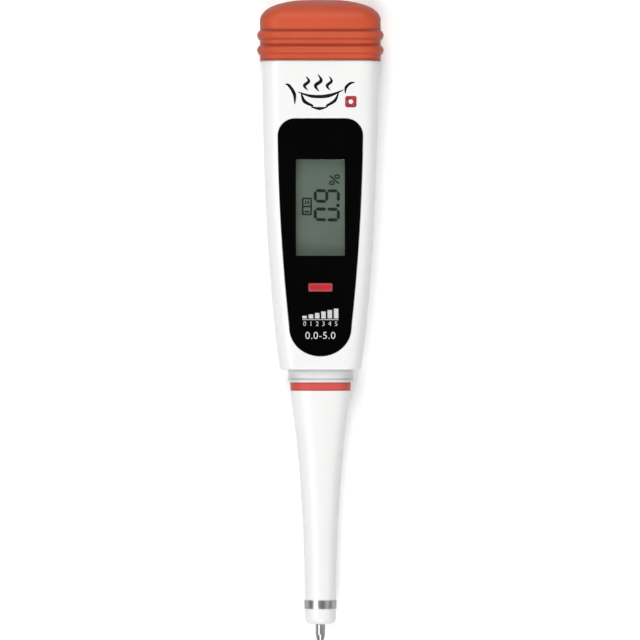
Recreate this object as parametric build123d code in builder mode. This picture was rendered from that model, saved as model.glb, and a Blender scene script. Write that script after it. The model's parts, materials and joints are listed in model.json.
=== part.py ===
from build123d import *
from math import atan2, copysign, cos, pi, radians, sin, tan
import os

os.makedirs("parts", exist_ok=True)

# A pen-type digital salinity meter that lies on its back with its display up.
# +Y runs from the tip of the probe to the top cap, +Z points out of the display and X is across.
# The origin is on the surface that the meter lies on, below the middle of its length.
# The ribs of the cap and the lower rear edge of the body both touch that surface.

# Lengths along the meter, from the top cap down to the tip
cap_length = 16.5
body_length = 83.4
collar_length = 2.9
lip_length = 0.5
seal_length = 2.3
sleeve_length = 56.6
electrode_length = 2.3
nose_length = 4.2
pin_reach = 4.7

# Body section at the cap and at the lower end
top_width = 31.4
lower_width = 22.0
top_depth = 20.0
lower_depth = 16.0
top_corner = 5.0
lower_corner = 4.5
straight_share = 0.2
taper_power = 2.6
back_skim = 0.03
end_rounding = 0.6
shoulder_rounding = 0.3

# Walls and fits
wall = 1.8
front_wall = 2.6
end_wall = 2.0
fit = 0.05
slide_gap = 0.3
part_gap = 0.15

# Top cap
cap_overhang = 0.55
cap_wall = 1.6
rib_height = 0.8
rib_length = 2.6
rib_distances = (9.7, 13.7)
dome_height = 6.0
dome_squareness = 2.35
dome_angles = (0, 15, 30, 45, 60, 72, 84)
spigot_length = 7.5
spigot_wall = 1.3
gasket_length = 1.5
gasket_depth = 0.8
gasket_distance = 2.0

# Display panel, window and key, with distances measured down the face from the cap
panel_thickness = 1.2
panel_recess = 1.35
panel_top = 15.85
panel_straight = 56.3
panel_bow = 25.6
panel_top_half = 11.45
panel_bow_half = 10.75
panel_lower_half = 8.3
panel_end_height = 7.7
panel_corner = 4.6
window_width = 13.15
window_length = 26.0
window_down = 39.8
key_width = 6.56
key_height = 2.3
key_corner = 0.45
key_proud = 0.45
key_travel = 0.5
key_down = 61.3
key_gap = 0.15
key_flange = 1.0
key_flange_thickness = 0.8

# Display stack
lcd_width = 16.4
lcd_length = 29.6
lcd_thickness = 1.8
lcd_set_back = 0.3
reflector_thickness = 0.2
reflector_width = 11.6
holder_wall = 1.4
strip_width = 1.8
strip_length = 25.0

# Circuit board
board_depth = 7.2
board_thickness = 1.2
board_top = 16.9
board_shoulder = 22.6
board_waist = 64.8
board_end = 72.4
board_top_half = 8.4
board_half = 9.9
board_lower_half = 5.6
switch_size = 6.0
switch_height = 2.6
plunger_radius = 1.5
plunger_depth = 0.8

# Screws and bosses
boss_radius = 2.2
screw_radius = 1.0
screw_head_radius = 1.8
screw_head_height = 1.1
screw_length = 9.0
board_screw_length = 4.0
shell_screw_downs = (18.6, 68.6)
board_screw_downs = (19.4, 66.6)

# Button cells and their tray
cell_diameter = 11.6
cell_height = 5.4
cell_play = 0.2
cell_down = 4.6
tray_floor = 1.0
tray_length = 21.5
tray_plate = 1.6
tray_tab = 1.4
strap_thickness = 0.2
leaf_thickness = 0.2
leaf_width = 3.0
rail_width = 1.2

# Neck, probe and leads
stem_width = 13.6
stem_depth = 8.0
stem_wall = 1.6
stem_squareness = 2.6
stem_reach = 7.4
flange_thickness = 1.6
flange_grow = 1.3
stem_gasket_thickness = 0.6
trap_wall = 1.4
collar_width = 17.8
collar_depth = 12.9
collar_waist = 0.25
lip_width = 17.0
lip_depth = 12.3
seal_width = 16.4
seal_depth = 11.8
seal_groove = 1.1
sleeve_width = 16.1
sleeve_depth = 11.5
tip_diameter = 8.5
bore_diameter = 6.2
socket_depth = 8.0
socket_wall = 0.72
electrode_diameter = 8.7
nose_diameter = 8.4
nose_rounding = 1.7
pin_diameter = 2.6
pin_inside = 13.0
pin_taper_length = 1.9
pin_end_diameter = 1.7
groove_x = 2.0
thermistor_length = 3.0
thermistor_radius = 0.75
lead_diameter = 0.8
oval_points = 16

# Places that follow from the sizes
overall_length = (cap_length + body_length + collar_length + lip_length + seal_length
                  + sleeve_length + electrode_length + nose_length + pin_reach)
top_y = overall_length / 2
shoulder_y = top_y - cap_length
body_end_y = shoulder_y - body_length
collar_end_y = body_end_y - collar_length
lip_end_y = collar_end_y - lip_length
seal_end_y = lip_end_y - seal_length
sleeve_end_y = seal_end_y - sleeve_length
electrode_end_y = sleeve_end_y - electrode_length
nose_end_y = electrode_end_y - nose_length
tip_y = nose_end_y - pin_reach

rest_lift = cap_overhang + rib_height
cap_z = rest_lift + top_depth / 2
probe_z = lower_depth / 2
probe_axis = Axis((0, 0, probe_z), (0, 1, 0))

cap_width = top_width + 2 * cap_overhang
cap_depth = top_depth + 2 * cap_overhang
cap_corner = top_corner + cap_overhang
spigot_inset = cap_wall + fit
spigot_top_y = shoulder_y + spigot_length

face_tilt = atan2(rest_lift + top_depth - lower_depth, body_length)
face = Plane(origin=(0, shoulder_y, rest_lift + top_depth), x_dir=(1, 0, 0),
             z_dir=(0, -sin(face_tilt), cos(face_tilt)))
board_front = face.offset(-board_depth)
board_back = board_front.offset(-board_thickness)
back_tilt = atan2(rest_lift, body_length)
back_flat = Plane(origin=(0, body_end_y, 0), x_dir=(1, 0, 0),
                  z_dir=(0, -sin(back_tilt), cos(back_tilt)))
parting_tilt = atan2(cap_z - probe_z, body_length)
parting = Plane(origin=(0, body_end_y, probe_z), x_dir=(1, 0, 0),
                z_dir=(0, -sin(parting_tilt), cos(parting_tilt)))


def blend(start, end, share):
    return start + (end - start) * share


def save(piece, name):
    piece.part.label = name
    export_step(piece.part, f"parts/{name}.step")


# The body narrows slowly below the cap and faster towards the probe.
# A share of 0 is at the cap and 1 is at the lower end.
def body_width(share):
    bend = straight_share * share + (1 - straight_share) * share**taper_power
    return blend(top_width, lower_width, bend)


def back_z(share):
    return blend(rest_lift, 0, share)


def front_z(share):
    return back_z(share) + blend(top_depth, lower_depth, share)


def share_at(distance):
    return distance / body_length


def body_section(distance, side=0.0, back=0.0, front=0.0):
    share = share_at(distance)
    low = back_z(share) + back
    high = front_z(share) - front
    corner = blend(top_corner, lower_corner, share) - side
    with BuildSketch(Plane.XZ.offset(distance - shoulder_y)) as outline:
        with Locations((0, (low + high) / 2)):
            RectangleRounded(body_width(share) - 2 * side, high - low, corner)
    return outline.sketch


def body_sections(first, last, steps, side=0.0, back=0.0, front=0.0):
    distances = [blend(first, last, step / steps) for step in range(steps + 1)]
    return [body_section(distance, side, back, front) for distance in distances]


def cap_section(y, inset=0.0, scale=1.0):
    with BuildSketch(Plane.XZ.offset(-y)) as outline:
        with Locations((0, cap_z)):
            RectangleRounded((cap_width - 2 * inset) * scale, (cap_depth - 2 * inset) * scale,
                             (cap_corner - inset) * scale)
    return outline.sketch


def dome_sections(base_y, height, inset):
    power = 2 / dome_squareness
    sections = []
    for angle in dome_angles:
        rise = height * sin(radians(angle)) ** power
        sections.append(cap_section(base_y + rise, inset, cos(radians(angle)) ** power))
    return sections


# A superellipse across the probe: squareness 2 is an ellipse, and more is squarer.
def oval(y, width, depth, squareness=stem_squareness):
    power = 2 / squareness
    points = []
    for step in range(oval_points):
        across = cos(2 * pi * step / oval_points)
        up = sin(2 * pi * step / oval_points)
        points.append((copysign(abs(across) ** power, across) * width / 2,
                       copysign(abs(up) ** power, up) * depth / 2))
    with BuildSketch(Plane(origin=(0, y, probe_z), x_dir=(1, 0, 0), z_dir=(0, -1, 0))) as outline:
        with BuildLine():
            Spline(*points, periodic=True)
        make_face()
    return outline.sketch


def panel_outline(plane, grow=0.0):
    upper = grow - panel_top
    middle = -panel_top - panel_bow
    lower = -panel_top - panel_straight
    half = panel_top_half + grow
    bow_half = panel_bow_half + grow
    lower_half = panel_lower_half + grow
    with BuildSketch(plane) as outline:
        with BuildLine():
            Line((half, upper), (-half, upper))
            ThreePointArc((-half, upper), (-bow_half, middle), (-lower_half, lower))
            EllipticalCenterArc((0, lower), lower_half, panel_end_height + grow, 180, arc_size=180)
            ThreePointArc((lower_half, lower), (bow_half, middle), (half, upper))
        make_face()
        fillet(outline.vertices().group_by(Axis.Y)[-1], panel_corner + grow)
    return outline.sketch


# Top cap: a hollow dome with two ribs round its skirt
dome_base_y = top_y - dome_height
with BuildPart() as top_cap:
    extrude(cap_section(shoulder_y), amount=dome_base_y - shoulder_y, dir=(0, 1, 0))
    loft(dome_sections(dome_base_y, dome_height, 0))
    for distance in rib_distances:
        rib_y = top_y - distance
        loft([cap_section(rib_y - rib_length / 2), cap_section(rib_y, -rib_height),
              cap_section(rib_y + rib_length / 2)])
    extrude(cap_section(shoulder_y, cap_wall), amount=dome_base_y - shoulder_y, dir=(0, 1, 0),
            mode=Mode.SUBTRACT)
    loft(dome_sections(dome_base_y, dome_height - cap_wall, cap_wall), mode=Mode.SUBTRACT)
save(top_cap, "top_cap")

# Gasket in a groove round the spigot
gasket_y = shoulder_y + gasket_distance
with BuildPart() as cap_gasket:
    extrude(cap_section(gasket_y, spigot_inset), amount=gasket_length, dir=(0, 1, 0))
    extrude(cap_section(gasket_y, spigot_inset + gasket_depth), amount=gasket_length, dir=(0, 1, 0),
            mode=Mode.SUBTRACT)
save(cap_gasket, "cap_gasket")

# Both shells as one hollow body, cut apart below
tray_width = cap_width - 2 * (spigot_inset + spigot_wall + slide_gap)
tray_depth = tray_floor + strap_thickness + cell_height + cell_play
tray_low = cap_z - tray_depth / 2
tray_high = cap_z + tray_depth / 2
tray_end_y = spigot_top_y - tray_length
shell_bosses = []
for down in shell_screw_downs:
    for side in (-1, 1):
        inset = wall + boss_radius - slide_gap
        shell_bosses.append((side * (body_width(share_at(down)) / 2 - inset), down))
cavity_end = body_length - end_wall - stem_gasket_thickness - flange_thickness - part_gap

with BuildPart() as shell:
    loft(body_sections(0, body_length, 6, back=-back_skim))
    fillet(shell.edges().group_by(Axis.Y)[0], end_rounding)
    fillet(shell.edges().group_by(Axis.Y)[-1], shoulder_rounding)
    extrude(cap_section(shoulder_y, spigot_inset), amount=spigot_length, dir=(0, 1, 0))
    loft(body_sections(wall, cavity_end - trap_wall, 6, wall, wall, front_wall), mode=Mode.SUBTRACT)
    loft(body_sections(cavity_end, body_length - end_wall, 1, wall, wall, front_wall),
         mode=Mode.SUBTRACT)
    extrude(cap_section(shoulder_y - wall, spigot_inset + spigot_wall), amount=spigot_length + wall,
            dir=(0, 1, 0), mode=Mode.SUBTRACT)
    extrude(cap_section(gasket_y, spigot_inset), amount=gasket_length, dir=(0, 1, 0),
            mode=Mode.SUBTRACT)
    extrude(cap_section(gasket_y, spigot_inset + gasket_depth), amount=gasket_length, dir=(0, 1, 0))
    extrude(cap_section(gasket_y, spigot_inset + spigot_wall), amount=gasket_length, dir=(0, 1, 0),
            mode=Mode.SUBTRACT)
    extrude(oval(body_end_y, stem_width + 2 * fit, stem_depth + 2 * fit),
            amount=body_length - cavity_end + trap_wall, dir=(0, 1, 0), mode=Mode.SUBTRACT)
    # bosses for the shell screws, from one wall to the other
    for x, down in shell_bosses:
        low = back_z(share_at(down)) + wall / 2
        high = front_z(share_at(down)) - front_wall + wall / 3
        with Locations((x, shoulder_y - down, low)):
            Cylinder(boss_radius, high - low, align=(Align.CENTER, Align.CENTER, Align.MIN))
    # rails that the battery tray runs between
    rail_length = shoulder_y - wall - tray_end_y
    rail_middle = (shoulder_y - wall + tray_end_y) / 2
    for side in (-1, 1):
        x = side * (tray_width / 2 - rail_width)
        low = back_z(share_at(wall)) + wall / 2
        high = front_z(share_at(shoulder_y - tray_end_y)) - front_wall + wall / 3
        with Locations((x, rail_middle, low)):
            Box(rail_width, rail_length, tray_low - slide_gap - low,
                align=(Align.CENTER, Align.CENTER, Align.MIN))
        with Locations((x, rail_middle, high)):
            Box(rail_width, rail_length, high - tray_high - slide_gap,
                align=(Align.CENTER, Align.CENTER, Align.MAX))

head_seat = wall + screw_head_height
with BuildPart() as rear_housing:
    add(shell.part)
    split(bisect_by=parting, keep=Keep.BOTTOM)
    split(bisect_by=back_flat, keep=Keep.TOP)
    for x, down in shell_bosses:
        with Locations(Location((x, shoulder_y - down, 0), (180, 0, 0))):
            CounterBoreHole(screw_radius + part_gap, screw_head_radius + part_gap, head_seat)
save(rear_housing, "rear_housing")

with BuildPart() as front_housing:
    add(shell.part)
    split(bisect_by=parting, keep=Keep.TOP)
    extrude(panel_outline(face.offset(-panel_recess), part_gap), amount=2 * panel_recess,
            mode=Mode.SUBTRACT)
    # openings for the display and the key
    with BuildSketch(face):
        with Locations((0, -window_down)):
            Rectangle(window_width + 1, window_length + 1)
        with Locations((0, -key_down)):
            RectangleRounded(key_width + 2 * key_gap, key_height + 2 * key_gap, key_corner)
    extrude(amount=-front_wall - 1, mode=Mode.SUBTRACT)
    # bosses that the circuit board stands on
    with BuildSketch(board_front):
        with Locations(*[(0, -down) for down in board_screw_downs]):
            Circle(boss_radius - wall / 4)
    extrude(amount=board_depth - front_wall + wall / 3)
    with BuildSketch(board_front):
        with Locations(*[(0, -down) for down in board_screw_downs]):
            Circle(screw_radius)
    extrude(amount=board_screw_length, mode=Mode.SUBTRACT)
    for x, down in shell_bosses:
        with Locations((x, shoulder_y - down, head_seat)):
            Cylinder(screw_radius, screw_length, align=(Align.CENTER, Align.CENTER, Align.MIN),
                     mode=Mode.SUBTRACT)
save(front_housing, "front_housing")

# Black panel with openings for the display and the key
with BuildPart() as front_panel:
    extrude(panel_outline(face.offset(-panel_recess)), amount=panel_thickness)
    with BuildSketch(face):
        with Locations((0, -window_down)):
            Rectangle(window_width, window_length)
        with Locations((0, -key_down)):
            RectangleRounded(key_width + 2 * key_gap, key_height + 2 * key_gap, key_corner)
    extrude(amount=-2 * panel_recess, mode=Mode.SUBTRACT)
save(front_panel, "front_panel")

with BuildPart() as window_lens:
    with BuildSketch(face.offset(-panel_recess)):
        with Locations((0, -window_down)):
            Rectangle(window_width - 2 * fit, window_length - 2 * fit)
    extrude(amount=panel_thickness)
save(window_lens, "window_lens")

# Display: glass, reflector behind it, connector strips along its sides and the holder on the board
lcd_back = front_wall + lcd_set_back + lcd_thickness
holder_width = lcd_width + 2 * holder_wall
holder_length = lcd_length + 2 * holder_wall
strip_x = (reflector_width + strip_width) / 2 + part_gap + fit
with BuildPart() as lcd_glass:
    with BuildSketch(face.offset(-lcd_back)):
        with Locations((0, -window_down)):
            Rectangle(lcd_width, lcd_length)
    extrude(amount=lcd_thickness)
save(lcd_glass, "lcd_glass")

with BuildPart() as lcd_reflector:
    with BuildSketch(face.offset(-lcd_back)):
        with Locations((0, -window_down)):
            Rectangle(reflector_width, strip_length)
    extrude(amount=-reflector_thickness)
save(lcd_reflector, "lcd_reflector")

with BuildPart() as lcd_connectors:
    with BuildSketch(board_front):
        with Locations((-strip_x, -window_down), (strip_x, -window_down)):
            Rectangle(strip_width, strip_length)
    extrude(amount=board_depth - lcd_back)
save(lcd_connectors, "lcd_connectors")

with BuildPart() as lcd_holder:
    with BuildSketch(board_front):
        with Locations((0, -window_down)):
            Rectangle(holder_width, holder_length)
    extrude(amount=board_depth - front_wall - part_gap)
    with BuildSketch(board_front.offset(board_depth - lcd_back)):
        with Locations((0, -window_down)):
            Rectangle(lcd_width + 2 * part_gap, lcd_length + 2 * part_gap)
    extrude(amount=lcd_thickness + wall, mode=Mode.SUBTRACT)
    with BuildSketch(board_front.offset(board_depth - lcd_back - reflector_thickness)):
        with Locations((0, -window_down)):
            Rectangle(reflector_width + 2 * part_gap, strip_length + 2 * part_gap)
    extrude(amount=reflector_thickness, mode=Mode.SUBTRACT)
    with BuildSketch(board_front):
        with Locations((-strip_x, -window_down), (strip_x, -window_down)):
            Rectangle(strip_width + 2 * fit, strip_length + 2 * fit)
    extrude(amount=board_depth, mode=Mode.SUBTRACT)
save(lcd_holder, "lcd_holder")

# Circuit board, narrow between the upper bosses and again between the lower ones
with BuildPart() as main_board:
    with BuildSketch(board_back) as board_outline:
        with BuildLine():
            Polyline((-board_top_half, -board_top), (board_top_half, -board_top),
                     (board_top_half, -board_shoulder), (board_half, -board_shoulder),
                     (board_half, -board_waist), (board_lower_half, -board_waist),
                     (board_lower_half, -board_end), (-board_lower_half, -board_end),
                     (-board_lower_half, -board_waist), (-board_half, -board_waist),
                     (-board_half, -board_shoulder), (-board_top_half, -board_shoulder), close=True)
        make_face()
        fillet(board_outline.vertices(), board_thickness / 3)
        with Locations(*[(0, -down) for down in board_screw_downs]):
            Circle(screw_radius + part_gap, mode=Mode.SUBTRACT)
    extrude(amount=board_thickness)
save(main_board, "main_board")


# A pan head screw with a cross recess, its head on the seat and its thread going up from it
def screw(seat, thread_length):
    with BuildPart() as piece:
        with BuildSketch(seat):
            Circle(screw_radius - fit)
        extrude(amount=thread_length)
        with BuildSketch(seat):
            Circle(screw_head_radius)
        extrude(amount=-screw_head_height)
        fillet(piece.faces().sort_by(Axis.Z)[0].edges(), screw_head_height / 3)
        with BuildSketch(seat.offset(-screw_head_height)):
            Rectangle(screw_head_radius * 1.2, screw_radius / 3)
            Rectangle(screw_radius / 3, screw_head_radius * 1.2)
        extrude(amount=screw_head_height / 2, mode=Mode.SUBTRACT)
    return piece.part


shell_screws = [screw(Plane((x, shoulder_y - down, head_seat)), screw_length)
                for x, down in shell_bosses]
with BuildPart() as housing_screws:
    add(shell_screws)
save(housing_screws, "housing_screws")

board_seats = [Plane(board_back.from_local_coords(Vector(0, -down, 0)), x_dir=(1, 0, 0),
                     z_dir=board_back.z_dir) for down in board_screw_downs]
with BuildPart() as board_screws:
    add([screw(seat, board_screw_length) for seat in board_seats])
save(board_screws, "board_screws")


# Parts on the board, each row of equal blocks standing on one face of it
def board_blocks(plane, places, width, length, height):
    with BuildPart() as blocks:
        with BuildSketch(plane):
            with Locations(*places):
                Rectangle(width, length)
        extrude(amount=height)
    return blocks.part


# A flat chip with a row of legs on each of two sides
def chip(plane, place, width, length, height, leg_count):
    pitch = length / leg_count
    x, y = place
    with BuildPart() as piece:
        with BuildSketch(plane.offset(height / 8)):
            with Locations(place):
                Rectangle(width, length)
        extrude(amount=height)
        for side in (-1, 1):
            with BuildSketch(plane):
                with Locations((x + side * (width / 2 + height / 4), y)):
                    with GridLocations(pitch, pitch, 1, leg_count):
                        Rectangle(height, pitch / 2)
            extrude(amount=height / 4)
    return piece.part


board_under = Plane(board_back.origin, x_dir=(-1, 0, 0), z_dir=-board_back.z_dir)
with BuildPart() as controller_chip:
    add(chip(board_under, (0, -38.0), 7.0, 9.6, 1.5, 12))
save(controller_chip, "controller_chip")

with BuildPart() as amplifier_chip:
    add(chip(board_under, (0, -58.0), 4.0, 5.0, 1.4, 4))
save(amplifier_chip, "amplifier_chip")

with BuildPart() as clock_crystal:
    with BuildSketch(board_under):
        with Locations((0, -48.5)):
            SlotOverall(8.0, 2.6)
    extrude(amount=2.4)
    fillet(clock_crystal.faces().sort_by(Axis.Z)[0].edges(), 0.6)
save(clock_crystal, "clock_crystal")

with BuildPart() as board_capacitors:
    add(board_blocks(board_under, [(-7.0, -34.0), (-7.0, -38.0), (7.0, -42.0), (7.0, -52.0)],
                     2.0, 1.25, 1.2))
save(board_capacitors, "board_capacitors")

with BuildPart() as board_resistors:
    add(board_blocks(board_under, [(6.5, -31.0), (6.5, -33.5), (6.5, -36.0), (-6.5, -55.0),
                                   (-6.5, -57.5), (-6.5, -60.0)], 1.6, 0.8, 0.5))
save(board_resistors, "board_resistors")

# Key and the switch below it, which share one travel
key_foot = board_depth - switch_height - plunger_depth
flange_top = front_wall + part_gap
with BuildPart() as measure_key:
    with BuildSketch(face.offset(-flange_top)):
        with Locations((0, -key_down)):
            RectangleRounded(key_width, key_height, key_corner - key_gap / 2)
    extrude(amount=flange_top + key_proud)
    fillet(measure_key.faces().sort_by(Axis.Z)[-1].edges(), key_proud / 2)
    with BuildSketch(face.offset(-flange_top)):
        with Locations((0, -key_down)):
            RectangleRounded(key_width + 2 * key_flange, key_height + 2 * key_flange, key_corner)
    extrude(amount=-key_flange_thickness)
    with BuildSketch(face.offset(-flange_top - key_flange_thickness)):
        with Locations((0, -key_down)):
            Circle(plunger_radius)
    extrude(amount=flange_top + key_flange_thickness - key_foot)
save(measure_key, "measure_key")

with BuildPart() as switch_plunger:
    with BuildSketch(face.offset(-key_foot)):
        with Locations((0, -key_down)):
            Circle(plunger_radius)
    extrude(amount=-2 * plunger_depth)
save(switch_plunger, "switch_plunger")

with BuildPart() as switch_body:
    with BuildSketch(board_front):
        with Locations((0, -key_down)):
            RectangleRounded(switch_size, switch_size, key_corner)
    extrude(amount=switch_height)
    with BuildSketch(face.offset(-key_foot)):
        with Locations((0, -key_down)):
            Circle(plunger_radius + fit)
    extrude(amount=-2 * plunger_depth - key_travel - part_gap, mode=Mode.SUBTRACT)
save(switch_body, "switch_body")

# Battery tray: an end plate with a finger tab, and two round pockets open towards the display
cell_x = (cell_diameter + cell_play) / 2 + cell_play
cell_y = spigot_top_y - tray_plate - cell_down - cell_diameter / 2
strap_low = tray_low + tray_floor
cell_low = strap_low + strap_thickness
plate_inset = spigot_inset + spigot_wall + slide_gap
tray_middle = (spigot_top_y + tray_end_y) / 2
leaf_slot = leaf_width + 2 * slide_gap
with BuildPart() as battery_tray:
    with Locations((0, tray_middle, tray_low)):
        Box(tray_width, tray_length, tray_depth, align=(Align.CENTER, Align.CENTER, Align.MIN))
    extrude(cap_section(spigot_top_y - tray_plate, plate_inset), amount=tray_plate, dir=(0, 1, 0))
    with Locations((0, spigot_top_y, cap_z)):
        Box(tray_width / 3, tray_tab, tray_tab, align=(Align.CENTER, Align.MIN, Align.CENTER))
    with Locations((-cell_x, cell_y, strap_low), (cell_x, cell_y, strap_low)):
        Cylinder(cell_diameter / 2 + cell_play / 2, tray_depth, mode=Mode.SUBTRACT,
                 align=(Align.CENTER, Align.CENTER, Align.MIN))
    # slots that let the leaf contacts reach the cells
    with Locations((-cell_x, tray_end_y, cell_low + cell_height / 2),
                   (cell_x, tray_end_y, cell_low + cell_height / 2)):
        Box(leaf_slot, cell_y - tray_end_y, tray_depth, mode=Mode.SUBTRACT,
            align=(Align.CENTER, Align.MIN, Align.MIN))
    # seat of the strap between the two pockets
    with Locations((0, cell_y, strap_low)):
        Box(2 * cell_x, leaf_slot, tray_depth, mode=Mode.SUBTRACT,
            align=(Align.CENTER, Align.CENTER, Align.MIN))
save(battery_tray, "battery_tray")

with BuildPart() as bridge_strap:
    with Locations((0, cell_y, strap_low)):
        Box(2 * cell_x, leaf_width, strap_thickness,
            align=(Align.CENTER, Align.CENTER, Align.MIN))
save(bridge_strap, "bridge_strap")


def button_cell(x):
    with BuildPart() as cell:
        with Locations((x, cell_y, cell_low)):
            Cylinder(cell_diameter / 2, cell_height * 0.9,
                     align=(Align.CENTER, Align.CENTER, Align.MIN))
            fillet(cell.edges().filter_by(GeomType.CIRCLE), cell_play)
            Cylinder(cell_diameter * 0.41, cell_height,
                     align=(Align.CENTER, Align.CENTER, Align.MIN))
    return cell


save(button_cell(-cell_x), "button_cell_left")
save(button_cell(cell_x), "button_cell_right")

# Leaf contacts: a foot on the board, a riser and a blade above each cell
leaf_low = cell_low + cell_height + part_gap
foot_start = board_front.from_local_coords(Vector(0, -board_top - leaf_width, 0))
foot_end = board_front.from_local_coords(Vector(0, -board_top, 0))
foot_lift = leaf_thickness / 2 + fit
leaf_line = [(foot_start.Y, foot_start.Z + foot_lift), (foot_end.Y, foot_end.Z + foot_lift),
             (tray_end_y + slide_gap, leaf_low + leaf_thickness / 2),
             (cell_y, leaf_low + leaf_thickness / 2),
             (cell_y + leaf_width / 2, leaf_low + leaf_width / 4)]


def leaf_contact(x):
    with BuildPart() as leaf:
        with BuildSketch(Plane.YZ.offset(x)):
            with BuildLine():
                FilletPolyline(*leaf_line, radius=leaf_thickness * 2)
            trace(line_width=leaf_thickness)
        extrude(amount=leaf_width / 2, both=True)
    return leaf


save(leaf_contact(-cell_x), "leaf_contact_left")
save(leaf_contact(cell_x), "leaf_contact_right")

# Probe sleeve: stem and flange held by the shells, lip, groove for the seal ring, tapered sleeve
bore_end_y = sleeve_end_y + socket_depth
stem_top_y = body_end_y + stem_reach
flange_y = body_end_y + end_wall + stem_gasket_thickness


def sleeve_oval(share):
    swell = (1 - share) ** 2
    return oval(seal_end_y - share * sleeve_length, blend(tip_diameter, sleeve_width, swell),
                blend(tip_diameter, sleeve_depth, swell), blend(2, stem_squareness, swell))


def bore_oval(share):
    swell = (1 - share) ** 2
    bore_length = seal_end_y - bore_end_y
    return oval(seal_end_y - share * bore_length,
                blend(bore_diameter, stem_width - 2 * stem_wall, swell),
                blend(bore_diameter, stem_depth - 2 * stem_wall, swell),
                blend(2, stem_squareness, swell))


with BuildPart() as probe_sleeve:
    extrude(oval(collar_end_y, stem_width, stem_depth), amount=stem_top_y - collar_end_y,
            dir=(0, 1, 0))
    extrude(oval(flange_y, stem_width + 2 * flange_grow, stem_depth + 2 * flange_grow),
            amount=flange_thickness, dir=(0, 1, 0))
    extrude(oval(lip_end_y, lip_width, lip_depth), amount=lip_length, dir=(0, 1, 0))
    extrude(oval(seal_end_y, seal_width - 2 * seal_groove, seal_depth - 2 * seal_groove),
            amount=seal_length, dir=(0, 1, 0))
    loft([sleeve_oval(share) for share in (0, 0.15, 0.3, 0.5, 0.75, 1)])
    extrude(oval(seal_end_y, stem_width - 2 * stem_wall, stem_depth - 2 * stem_wall),
            amount=stem_top_y - seal_end_y, dir=(0, 1, 0), mode=Mode.SUBTRACT)
    loft([bore_oval(share) for share in (0, 0.15, 0.3, 0.5, 0.75, 1)], mode=Mode.SUBTRACT)
    extrude(oval(sleeve_end_y, tip_diameter - 2 * socket_wall, tip_diameter - 2 * socket_wall, 2),
            amount=socket_depth, dir=(0, 1, 0), mode=Mode.SUBTRACT)
save(probe_sleeve, "probe_sleeve")

with BuildPart() as stem_gasket:
    extrude(oval(body_end_y + end_wall, stem_width + 2 * flange_grow, stem_depth + 2 * flange_grow),
            amount=stem_gasket_thickness, dir=(0, 1, 0))
    extrude(oval(body_end_y + end_wall, stem_width + 2 * fit, stem_depth + 2 * fit),
            amount=stem_gasket_thickness, dir=(0, 1, 0), mode=Mode.SUBTRACT)
save(stem_gasket, "stem_gasket")

with BuildPart() as neck_collar:
    loft([oval(body_end_y, collar_width, collar_depth),
          oval(body_end_y - collar_length / 2, collar_width - 2 * collar_waist,
               collar_depth - 2 * collar_waist),
          oval(collar_end_y, collar_width, collar_depth)])
    extrude(oval(collar_end_y, stem_width + 2 * fit, stem_depth + 2 * fit), amount=collar_length,
            dir=(0, 1, 0), mode=Mode.SUBTRACT)
save(neck_collar, "neck_collar")

with BuildPart() as seal_ring:
    loft([oval(lip_end_y, seal_width, seal_depth),
          oval(seal_end_y, sleeve_width, sleeve_depth)])
    extrude(oval(seal_end_y, seal_width - 2 * seal_groove + 2 * fit,
                 seal_depth - 2 * seal_groove + 2 * fit),
            amount=seal_length, dir=(0, 1, 0), mode=Mode.SUBTRACT)
save(seal_ring, "seal_ring")

# Round pieces on the probe's axis, each turned from its half outline
probe_half = Plane.XY.offset(probe_z)
socket_radius = tip_diameter / 2 - socket_wall
nose_stem_radius = socket_radius - fit
pin_radius = pin_diameter / 2
groove_width = lead_diameter + 2 * part_gap
thermistor_x = (nose_stem_radius + pin_radius) / 2
thermistor_y = sleeve_end_y + slide_gap
with BuildPart() as ring_electrode:
    with BuildSketch(probe_half):
        with Locations(((electrode_diameter / 2 + socket_radius) / 2,
                        sleeve_end_y - electrode_length / 2)):
            Rectangle(electrode_diameter / 2 - socket_radius, electrode_length)
    revolve(axis=probe_axis)
save(ring_electrode, "ring_electrode")

with BuildPart() as probe_nose:
    with BuildSketch(probe_half):
        with BuildLine():
            Polyline((0, nose_end_y), (nose_diameter / 2, nose_end_y),
                     (nose_diameter / 2, electrode_end_y), (nose_stem_radius, electrode_end_y),
                     (nose_stem_radius, bore_end_y - fit), (0, bore_end_y - fit), close=True)
        make_face()
    revolve(axis=probe_axis)
    fillet(probe_nose.edges().sort_by(Axis.Y)[0], nose_rounding)
    with BuildSketch(Plane((0, nose_end_y, probe_z), x_dir=(1, 0, 0), z_dir=(0, -1, 0))):
        Circle(pin_radius + fit / 2)
    extrude(amount=-(bore_end_y - nose_end_y), mode=Mode.SUBTRACT)
    # side groove for the ring's lead, and a pocket for the thermistor opposite
    with Locations((-groove_x, electrode_end_y + fit, probe_z)):
        Box(nose_stem_radius, bore_end_y - electrode_end_y, groove_width, mode=Mode.SUBTRACT,
            align=(Align.MAX, Align.MIN, Align.CENTER))
    with Locations((thermistor_x - thermistor_radius - fit, sleeve_end_y, probe_z)):
        Box(nose_stem_radius, socket_depth, 2 * (thermistor_radius + fit), mode=Mode.SUBTRACT,
            align=(Align.MIN, Align.MIN, Align.CENTER))
save(probe_nose, "probe_nose")

with BuildPart() as sensor_pin:
    with BuildSketch(probe_half):
        with BuildLine():
            Polyline((0, tip_y), (pin_end_diameter / 2, tip_y), (pin_radius, tip_y + pin_taper_length),
                     (pin_radius, nose_end_y + pin_inside), (0, nose_end_y + pin_inside), close=True)
        make_face()
    revolve(axis=probe_axis)
    fillet(sensor_pin.edges().sort_by(Axis.Y)[0], pin_end_diameter / 4)
save(sensor_pin, "sensor_pin")

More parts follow.
